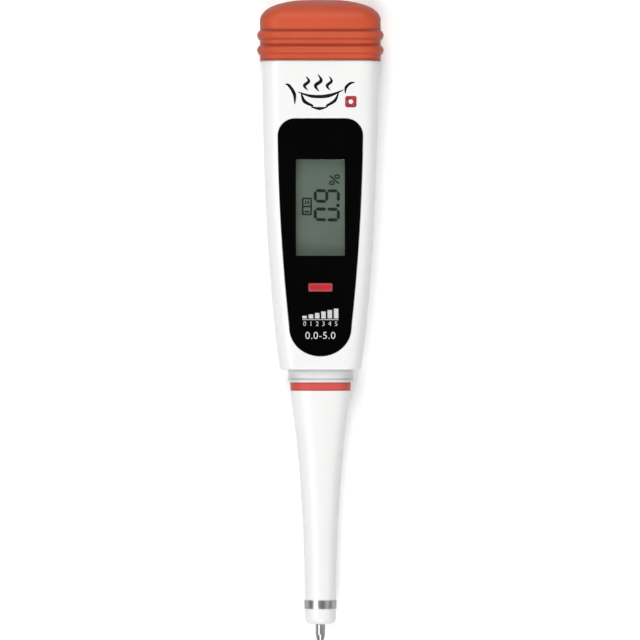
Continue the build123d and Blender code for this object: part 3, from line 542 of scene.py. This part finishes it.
partFinishes = {
    "capOrange": ["top_cap"],
    "shellWhite": ["front_housing", "rear_housing", "probe_sleeve", "probe_nose"],
    "panelBlack": ["front_panel"],
    "windowClear": ["window_lens"],
    "displayGrey": ["lcd_glass"],
    "foilSilver": ["lcd_reflector"],
    "holderBlack": ["lcd_holder"],
    "keyRed": ["measure_key"],
    "collarGrey": ["neck_collar"],
    "sealRed": ["seal_ring"],
    "gasketDark": ["cap_gasket", "stem_gasket", "lcd_connectors"],
    "trayWhite": ["battery_tray"],
    "electrodeSteel": ["ring_electrode", "sensor_pin"],
    "cellSteel": ["button_cell_left", "button_cell_right", "clock_crystal"],
    "contactNickel": ["bridge_strap", "leaf_contact_left", "leaf_contact_right"],
    "screwZinc": ["housing_screws", "board_screws"],
    "boardGreen": ["main_board"],
    "chipBlack": ["controller_chip", "amplifier_chip", "board_resistors", "switch_body", "switch_plunger"],
    "ceramicTan": ["board_capacitors", "thermistor"],
    "wireRed": ["ring_lead", "pin_lead", "thermistor_lead"],
}
for finish, names in partFinishes.items():
    for name in names:
        nodes[name].data.materials.clear()
        nodes[name].data.materials.append(finishes[finish])
unfinished = set(nodes) - {name for names in partFinishes.values() for name in names}
print("parts without a finish:", sorted(unfinished))


# making printed and raised marks

def addPiece(name, mesh, finish, body):
    piece = bpy.data.objects.new(name, mesh)
    bpy.context.scene.collection.objects.link(piece)
    mesh.materials.append(finishes[finish])
    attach(piece, body)


def raisedMesh(name, outlines, base, lift):
    # each outline is a closed ring of (x, y) on the face, raised from base to lift
    mesh = bpy.data.meshes.new(name)
    build = bmesh.new()
    for outline in outlines:
        floor = [build.verts.new(onFace(x, y, base)) for x, y in outline]
        top = [build.verts.new(onFace(x, y, lift)) for x, y in outline]
        build.faces.new(top)
        build.faces.new(list(reversed(floor)))
        for index in range(len(outline)):
            after = (index + 1) % len(outline)
            build.faces.new((floor[index], floor[after], top[after], top[index]))
    bmesh.ops.recalc_face_normals(build, faces=build.faces)
    build.to_mesh(mesh)
    build.free()
    return mesh


def bandMesh(name, rings):  # a closed band whose section runs through the rings in turn
    mesh = bpy.data.meshes.new(name)
    build = bmesh.new()
    loops = [[build.verts.new(spot) for spot in ring] for ring in rings]
    for first, second in zip(loops, loops[1:] + loops[:1]):
        for index in range(len(first)):
            after = (index + 1) % len(first)
            build.faces.new((first[index], first[after], second[after], second[index]))
    bmesh.ops.recalc_face_normals(build, faces=build.faces)
    build.to_mesh(mesh)
    build.free()
    return mesh


def strokeOutline(points, widths, steps=10):
    # a smooth stroke through the points, as wide at each as widths says, with rounded ends
    centre, half = [], []
    last = len(points) - 1
    for index in range(last):
        ends = [Vector(points[max(index - 1, 0)]), Vector(points[index]), Vector(points[index + 1]),
                Vector(points[min(index + 2, last)])]
        for step in range(steps + (index == last - 1)):
            t = step / steps
            bend = (2 * ends[1] + (ends[2] - ends[0]) * t
                    + (2 * ends[0] - 5 * ends[1] + 4 * ends[2] - ends[3]) * t**2
                    + (3 * ends[1] - ends[0] - 3 * ends[2] + ends[3]) * t**3) / 2
            centre.append(bend)
            half.append((widths[index] * (1 - t) + widths[index + 1] * t) / 2)
    left, right = [], []
    for index, spot in enumerate(centre):
        along = centre[min(index + 1, len(centre) - 1)] - centre[max(index - 1, 0)]
        across = Vector((-along.y, along.x)).normalized() * half[index]
        left.append(spot + across)
        right.append(spot - across)
    tip = (centre[-1] - centre[-2]).normalized() * half[-1]
    tail = (centre[0] - centre[1]).normalized() * half[0]
    ring = left + [centre[-1] + tip] + list(reversed(right)) + [centre[0] + tail]
    return [(spot.x, spot.y) for spot in ring]


# reading on the display

reading = {"height": 7.05, "width": 3.7, "bar": 0.84, "gap": 0.12, "slant": 0.02, "base": 0.005,
           "lift": 0.03, "baseline": 5.25, "starts": {"0": -3.95, "9": 1.0}, "point": (0.38, 0.5, 0.48)}
segmentsOf = {"0": "abcdef", "9": "abcdfg"}
# places along the reading and up from its baseline, and the marks with their own widths
gaugeIcon = {"along": (-2.2, 2.1), "up": (7.75, 10.0), "divider": -0.05, "bar": 0.44,
             "marks": [(((-1.45, 8.4), (-1.45, 9.35)), 0.5), (((0.65, 8.55), (1.4, 8.55)), 0.4),
                       (((0.65, 9.2), (1.4, 9.2)), 0.4)]}
percentSign = {"slash": ((6.3, 0.3), (8.3, 2.6)), "loops": ((6.45, 2.15), (8.15, 0.75)), "radius": 0.6,
               "squash": 0.75, "bar": 0.4}
lensMiddle = middle("window_lens")


def readingSpot(along, up):  # the reading runs up the meter, so its top is at the left
    return (lensMiddle.x + (reading["baseline"] - up) * mm,
            lensMiddle.y + (along + up * reading["slant"]) * mm)


def segmentOutline(letter, start):
    tall, wide, bar, gap = reading["height"], reading["width"], reading["bar"], reading["gap"]
    left, right = start + bar / 2, start + wide - bar / 2
    low, high, half = bar / 2, tall - bar / 2, tall / 2
    ends = {"a": ((left, high), (right, high)), "b": ((right, half), (right, high)),
            "c": ((right, low), (right, half)), "d": ((left, low), (right, low)),
            "e": ((left, low), (left, half)), "f": ((left, half), (left, high)),
            "g": ((left, half), (right, half))}[letter]
    first, second = Vector(ends[0]), Vector(ends[1])
    along = (second - first).normalized()
    across = Vector((-along.y, along.x)) * bar / 2
    first, second = first + along * gap, second - along * gap
    inner = along * bar / 2
    ring = (first, first + inner + across, second - inner + across, second,
            second - inner - across, first + inner - across)
    return [readingSpot(spot.x, spot.y) for spot in ring]


def pointOutline(along, up, radius, steps=20):
    angles = [2 * math.pi * step / steps for step in range(steps)]
    return [readingSpot(along + radius * math.cos(angle), up + radius * math.sin(angle))
            for angle in angles]


def loopStrokes(along, up, radius, bar, steps=14):  # a small oval as one stroke, in two halves
    halves = []
    for start in (0, math.pi):
        spots = []
        for step in range(steps + 1):
            angle = start + math.pi * step / steps
            spots.append(readingSpot(along + radius * percentSign["squash"] * math.cos(angle),
                                     up + radius * math.sin(angle)))
        halves.append(strokeOutline(spots, [bar * mm] * len(spots), 1))
    return halves


def boxStrokes(spots, bar):
    strokes = []
    for first, second in zip(spots, spots[1:]):
        strokes.append(strokeOutline([readingSpot(*first), readingSpot(*second)], [bar * mm] * 2, 1))
    return strokes


def makeReading():
    outlines = []
    for digit, start in reading["starts"].items():
        outlines += [segmentOutline(letter, start) for letter in segmentsOf[digit]]
    outlines.append(pointOutline(*reading["point"]))
    for along, up in percentSign["loops"]:
        outlines += loopStrokes(along, up, percentSign["radius"], percentSign["bar"])
    outlines += boxStrokes(percentSign["slash"], percentSign["bar"])
    (left, right), (low, high) = gaugeIcon["along"], gaugeIcon["up"]
    cut = gaugeIcon["divider"]
    outlines += boxStrokes([(left, low), (right, low), (right, high), (left, high), (left, low)],
                           gaugeIcon["bar"])
    outlines += boxStrokes([(cut, low), (cut, high)], gaugeIcon["bar"])
    for spots, bar in gaugeIcon["marks"]:
        outlines += boxStrokes(spots, bar)
    level = faceLevel("lcd_glass")
    base, lift = level + reading["base"] * mm, level + reading["lift"] * mm
    mesh = raisedMesh("displayReading", outlines, base, lift)
    addPiece("displayReading", mesh, "displayInk", "housing")


makeReading()

# print on the black panel: rising bars over plain numbers

panelPrint = {"bars": 6, "barWidth": 1.22, "wide": 9.7, "least": 0.7, "most": 2.65, "below": 8.6,
              "rule": 0.16, "ruleBelow": 9.0,
              "numbers": "012345", "numberSize": 1.75, "numbersBelow": 10.6, "range": "0.0-5.0",
              "rangeSize": 2.75, "rangeBelow": 14.1, "base": 0.005, "lift": 0.02}
lettering = {"spacing": 1.08, "thickness": 0.008}


def flatText(name, size, places, plane=None):
    # places holds (words, x, y) on the face, and plane turns them to lie on something else
    frameOfText = Matrix((Vector((1, 0, 0)), faceUp, faceOut)).transposed().to_4x4()
    build = bmesh.new()
    for words, x, y in places:
        curve = bpy.data.curves.new(name + "Line", "FONT")
        curve.body = words
        curve.size = size * mm
        curve.align_x = "CENTER"
        curve.space_character = lettering["spacing"]
        curve.extrude = lettering["thickness"] * mm
        holder = bpy.data.objects.new(name + "Line", curve)
        bpy.context.scene.collection.objects.link(holder)
        bpy.context.view_layer.update()
        solved = holder.evaluated_get(bpy.context.evaluated_depsgraph_get())
        mesh = bpy.data.meshes.new_from_object(solved)
        bpy.data.objects.remove(holder)
        if plane is None:
            spot = onFace(x, y, faceLevel("front_panel") + panelPrint["lift"] * mm)
            mesh.transform(Matrix.Translation(spot) @ frameOfText)
        else:
            mesh.transform(plane @ Matrix.Translation((x, y, 0)))
        build.from_mesh(mesh)
        bpy.data.meshes.remove(mesh)
    joined = bpy.data.meshes.new(name)
    build.to_mesh(joined)
    build.free()
    return joined


def makePanelPrint():
    look = panelPrint
    keyMiddle = middle("measure_key")
    pitch = (look["wide"] - look["barWidth"]) / (look["bars"] - 1) * mm
    base = keyMiddle.y - look["below"] * mm
    outlines, numberPlaces = [], []
    for index in range(look["bars"]):
        x = keyMiddle.x + (index - (look["bars"] - 1) / 2) * pitch
        tall = look["least"] + (look["most"] - look["least"]) * index / (look["bars"] - 1)
        half = look["barWidth"] / 2 * mm
        outlines.append([(x - half, base), (x + half, base), (x + half, base + tall * mm),
                         (x - half, base + tall * mm)])
        numberPlaces.append((look["numbers"][index], x, keyMiddle.y - look["numbersBelow"] * mm))
    ruleY, half = keyMiddle.y - look["ruleBelow"] * mm, look["wide"] / 2 * mm
    outlines.append([(-half, ruleY), (half, ruleY), (half, ruleY + look["rule"] * mm),
                     (-half, ruleY + look["rule"] * mm)])
    level = faceLevel("front_panel")
    mesh = raisedMesh("panelBars", outlines, level + look["base"] * mm, level + look["lift"] * mm)
    addPiece("panelBars", mesh, "printWhite", "housing")
    mesh = flatText("panelNumbers", look["numberSize"], numberPlaces)
    addPiece("panelNumbers", mesh, "printWhite", "housing")
    rangePlace = [(look["range"], keyMiddle.x, keyMiddle.y - look["rangeBelow"] * mm)]
    mesh = flatText("panelRange", look["rangeSize"], rangePlace)
    addPiece("panelRange", mesh, "printWhite", "housing")


makePanelPrint()

# painted highlight: a pale rim round the top of the key

keyRimHighlightLook = {"width": 0.42, "corner": 0.45, "innerCorner": 0.15, "sunk": -0.003, "lift": 0.012,
              "topLayer": 0.05}


def roundedRing(x, y, wide, tall, corner, steps=6):
    ring = []
    for quarter, (sx, sy) in enumerate(((1, 1), (-1, 1), (-1, -1), (1, -1))):
        for step in range(steps + 1):
            angle = math.pi / 2 * (quarter + step / steps)
            ring.append((x + sx * (wide / 2 - corner) + corner * math.cos(angle),
                         y + sy * (tall / 2 - corner) + corner * math.sin(angle)))
    return ring


def makeKeyRimHighlight():
    look = keyRimHighlightLook
    level = faceLevel("measure_key")
    top = [vertex.co for vertex in nodes["measure_key"].data.vertices
           if (vertex.co - faceSpot).dot(faceOut) > level - look["topLayer"] * mm]
    wide = max(spot.x for spot in top) - min(spot.x for spot in top)
    tall = max(spot.dot(faceUp) for spot in top) - min(spot.dot(faceUp) for spot in top)
    inside = look["width"] * mm
    outer = roundedRing(0, 0, wide, tall, look["corner"] * mm)
    inner = roundedRing(0, 0, wide - 2 * inside, tall - 2 * inside, look["innerCorner"] * mm)
    rings = []
    for ring, lift in ((outer, look["sunk"]), (outer, look["lift"]), (inner, look["lift"]),
                       (inner, look["sunk"])):
        rise = faceOut * (level + lift * mm)
        rings.append([faceSpot + Vector((x, 0, 0)) + faceUp * y + rise for x, y in ring])
    addPiece("keyRimHighlight", bandMesh("keyRimHighlight", rings), "keyRimHighlight", "measure_key")


makeKeyRimHighlight()

# seam where the two shells meet, drawn by cutting the front shell just above its lower edge

seamLook = {
    "width": 0.12, "proud": 0.004, "above": 0.02,
    "beforeCap": 0.35,   # it stops this far before the cap
    "wallDepth": 1.2,    # deeper than this below the widest place is the inside of the wall
    "endDepth": 0.5,     # across the lower end it stays this near the end
    "neckHalf": 7.2,     # and this far out, clear of the neck
}


def sideWidths(name, step=4.0):  # the widest place of a part in each slice along its length
    widths = {}
    for vertex in nodes[name].data.vertices:
        place = round(vertex.co.y / (step * mm))
        widths[place] = max(widths.get(place, 0), abs(vertex.co.x))
    return lambda y: widths.get(round(y / (step * mm)), 0)


def makeSeam():
    look = seamLook
    widest = sideWidths("front_housing")
    low, high = Vector(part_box("front_housing")[0]), Vector(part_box("rear_housing")[1])
    start, end = Vector((0, low.y, low.z)), Vector((0, high.y, high.z))
    along = (end - start).normalized()
    normal = Vector((1, 0, 0)).cross(along)
    cut = bmesh.new()
    cut.from_mesh(nodes["front_housing"].data)
    found = bmesh.ops.bisect_plane(cut, geom=cut.verts[:] + cut.edges[:] + cut.faces[:],
                                   plane_co=start + normal * look["above"] * mm, plane_no=normal)
    edges = [item for item in found["geom_cut"] if isinstance(item, bmesh.types.BMEdge)]
    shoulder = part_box("top_cap")[0][1] - look["beforeCap"] * mm
    build = bmesh.new()
    half, proud = look["width"] / 2 * mm, look["proud"] * mm
    for edge in edges:
        first, second = (vertex.co.copy() for vertex in edge.verts)
        faces = [face for face in edge.link_faces if abs(face.normal.dot(normal)) < 0.5]
        if not faces or max(first.y, second.y) > shoulder:
            continue
        out = faces[0].normal
        onSide = out.x * first.x > 0 and abs(first.x) > widest(first.y) - look["wallDepth"] * mm
        onEnd = out.y < -0.9 and first.y < low.y + look["endDepth"] * mm
        if not onSide and not (onEnd and abs(first.x) > look["neckHalf"] * mm):
            continue
        corners = [spot + out * proud + normal * side for spot, side in
                   ((first, -half), (second, -half), (second, half), (first, half))]
        build.faces.new([build.verts.new(corner) for corner in corners])
    cut.free()
    bmesh.ops.remove_doubles(build, verts=build.verts, dist=0.001 * mm)
    mesh = bpy.data.meshes.new("shellSeam")
    build.to_mesh(mesh)
    build.free()
    addPiece("shellSeam", mesh, "seamGrey", "housing")


makeSeam()

# brush-drawn bowl and steam above the panel, and a red square with a dot

bowlDrawing = {
    "up": 7.3,      # from the panel's upper edge to the middle of the drawing
    "strokes": [    # points across and up, then the width at each point
        [((-6.0, -0.2), (-2.2, -1.35), (2.2, -1.2), (6.3, 0.4)), (0.15, 0.85, 0.95, 0.12)],
        [((-5.1, -0.7), (-4.3, -2.7), (-2.1, -3.9)), (0.40, 0.95, 0.55)],
        [((4.9, -0.4), (3.9, -2.5), (1.7, -3.9)), (0.25, 0.85, 0.60)],
        [((-2.4, -4.25), (-0.2, -4.65), (2.0, -4.2)), (0.25, 0.85, 0.15)],
        [((-3.4, 0.3), (-4.3, 1.5), (-3.1, 2.7), (-3.9, 4.0)), (0.12, 0.85, 0.80, 0.10)],
        [((-0.4, 0.0), (-1.3, 1.5), (0.2, 2.9), (-0.7, 4.6)), (0.16, 0.95, 0.90, 0.10)],
        [((2.6, 0.3), (1.8, 1.5), (3.0, 2.7), (2.4, 4.0)), (0.12, 0.85, 0.75, 0.10)],
        [((-9.4, 1.9), (-8.4, 1.5), (-7.0, -0.8), (-6.9, -3.4)), (0.20, 0.75, 0.95, 0.20)],
        [((6.7, -0.6), (6.9, 1.0), (8.0, 2.1), (9.3, 2.4)), (0.16, 0.80, 0.70, 0.12)],
    ],
    "square": {"across": 8.2, "up": -2.8, "size": 3.1, "corner": 0.6, "dot": 0.6, "dotLift": 0.032},
    "base": 0.004, "lift": 0.02,
}


def makeBowlDrawing():
    look = bowlDrawing
    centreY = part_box("front_panel")[1][1] + look["up"] * mm
    outlines = []
    for points, widths in look["strokes"]:
        spots = [(x * mm, centreY + y * mm) for x, y in points]
        outlines.append(strokeOutline(spots, [width * mm for width in widths]))
    base, lift = look["base"] * mm, look["lift"] * mm
    mesh = raisedMesh("bowlStrokes", outlines, base, lift)
    addPiece("bowlStrokes", mesh, "printBlack", "housing")
    square = look["square"]
    x, y = square["across"] * mm, centreY + square["up"] * mm
    size = square["size"] * mm
    outline = roundedRing(x, y, size, size, square["corner"] * mm)
    mesh = raisedMesh("redSquare", [outline], base, lift)
    addPiece("redSquare", mesh, "printRed", "housing")
    dot = [(x + square["dot"] * mm * math.cos(angle), y + square["dot"] * mm * math.sin(angle))
           for angle in (2 * math.pi * step / 24 for step in range(24))]
    mesh = raisedMesh("redSquareDot", [dot], lift, square["dotLift"] * mm)
    addPiece("redSquareDot", mesh, "shellWhite", "housing")


makeBowlDrawing()
print("prints done")

# sealing rings and polarity marks on the button cells

cellMarks = {"ringInner": 4.15, "ringOuter": 4.6, "lift": 0.03, "steps": 64,
             "signs": {"left": "+", "right": "-"}, "signSize": 4.2, "signDrop": 0.32, "signLift": 0.01}


def makeCellMarks(side):
    look = cellMarks
    low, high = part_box("button_cell_" + side)
    centre = (Vector(low) + Vector(high)) / 2
    angles = [2 * math.pi * step / look["steps"] for step in range(look["steps"])]
    rings = []
    for radius, lift in ((look["ringOuter"], 0.0), (look["ringOuter"], look["lift"]),
                         (look["ringInner"], look["lift"]), (look["ringInner"], 0.0)):
        rings.append([(centre.x + radius * mm * math.cos(angle),
                       centre.y + radius * mm * math.sin(angle), high[2] + lift * mm)
                      for angle in angles])
    mesh = bandMesh("cellRing_" + side, rings)
    addPiece("cellRing_" + side, mesh, "gasketDark", "battery_tray")
    signY = centre.y - look["signSize"] * look["signDrop"] * mm
    place = Matrix.Translation((centre.x, signY, high[2] + look["signLift"] * mm))
    mesh = flatText("cellSign_" + side, look["signSize"], [(look["signs"][side], 0, 0)], place)
    addPiece("cellSign_" + side, mesh, "printBlack", "battery_tray")


for side in ("left", "right"):
    makeCellMarks(side)

# camera, floor and lights

studio = {
    "shown": 172.8, "away": 2.6, "centre": (-0.1, 0.22), "farthest": 20.0,
    "floorTone": (0.985, 0.985, 0.985), "floorGrain": 0.995, "floorHalf": 6.0, "worldTone": 0.22,
    "lamps": [   # degrees across and along from straight above; share is what a level surface gets
        {"name": "nearEnd", "from": (0.0, -46.0), "distance": 1.3, "size": 0.7, "share": 0.44},
        {"name": "farEnd", "from": (0.0, 40.0), "distance": 1.3, "size": 0.7, "share": 0.44},
        {"name": "leftSide", "from": (-33.0, 0.0), "distance": 1.3, "size": 0.6, "share": 0.32},
        {"name": "rightSide", "from": (50.0, 0.0), "distance": 1.3, "size": 0.8, "share": 0.06},
    ],
}


def setUpCamera():
    data = bpy.data.cameras.new("camera")
    data.sensor_width = 36.0
    data.lens = data.sensor_width / 2 / ((studio["shown"] / 2 * mm) / studio["away"])
    data.clip_end = studio["farthest"]
    camera = bpy.data.objects.new("camera", data)
    # the outline lies at the height where the body's two shells meet
    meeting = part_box("rear_housing")[1][2]
    camera.location = (studio["centre"][0] * mm, studio["centre"][1] * mm, meeting + studio["away"])
    bpy.context.scene.collection.objects.link(camera)
    bpy.context.scene.camera = camera


def setUpFloor():
    mesh = bpy.data.meshes.new("floor")
    build = bmesh.new()
    bmesh.ops.create_grid(build, x_segments=2, y_segments=2, size=studio["floorHalf"])
    build.to_mesh(mesh)
    build.free()
    floor = bpy.data.objects.new("floor", mesh)
    bpy.context.scene.collection.objects.link(floor)
    material, tree, shader, place = newFinish("floorPaper")
    paper = setInputs(addNode(tree, "ShaderNodeTexNoise", -900, 0), Scale=900.0, Detail=4.0)
    tree.links.new(place, paper.inputs["Vector"])
    tone = studio["floorTone"]
    darker = tuple(value * studio["floorGrain"] for value in tone)
    tree.links.new(mixColour(tree, -500, 0, paper.outputs[0], darker, tone), shader.inputs["Base Color"])
    setInputs(shader, Roughness=0.9, Specular_IOR_Level=0.0)
    mesh.materials.append(material)


def setUpLights():
    for lamp in studio["lamps"]:
        data = bpy.data.lights.new(lamp["name"], "AREA")
        data.shape = "DISK"
        data.size = lamp["size"]
        across, along = (math.radians(angle) for angle in lamp["from"])
        aim = Vector((math.sin(across), math.sin(along), math.cos(across + along)))
        data.energy = lamp["share"] * math.pi**2 * lamp["distance"]**2 / aim.z
        light = bpy.data.objects.new(lamp["name"], data)
        light.location = aim * lamp["distance"]
        light.rotation_euler = (-aim).to_track_quat("-Z", "Y").to_euler()
        bpy.context.scene.collection.objects.link(light)
    world = bpy.data.worlds.new("studio")
    world.use_nodes = True
    sky = world.node_tree.nodes["Background"]
    sky.inputs["Color"].default_value = (1.0, 1.0, 1.0, 1.0)
    sky.inputs["Strength"].default_value = studio["worldTone"]
    bpy.context.scene.world = world
    bpy.context.scene.view_settings.view_transform = "Standard"


setUpCamera()
setUpFloor()
setUpLights()
print("studio done")
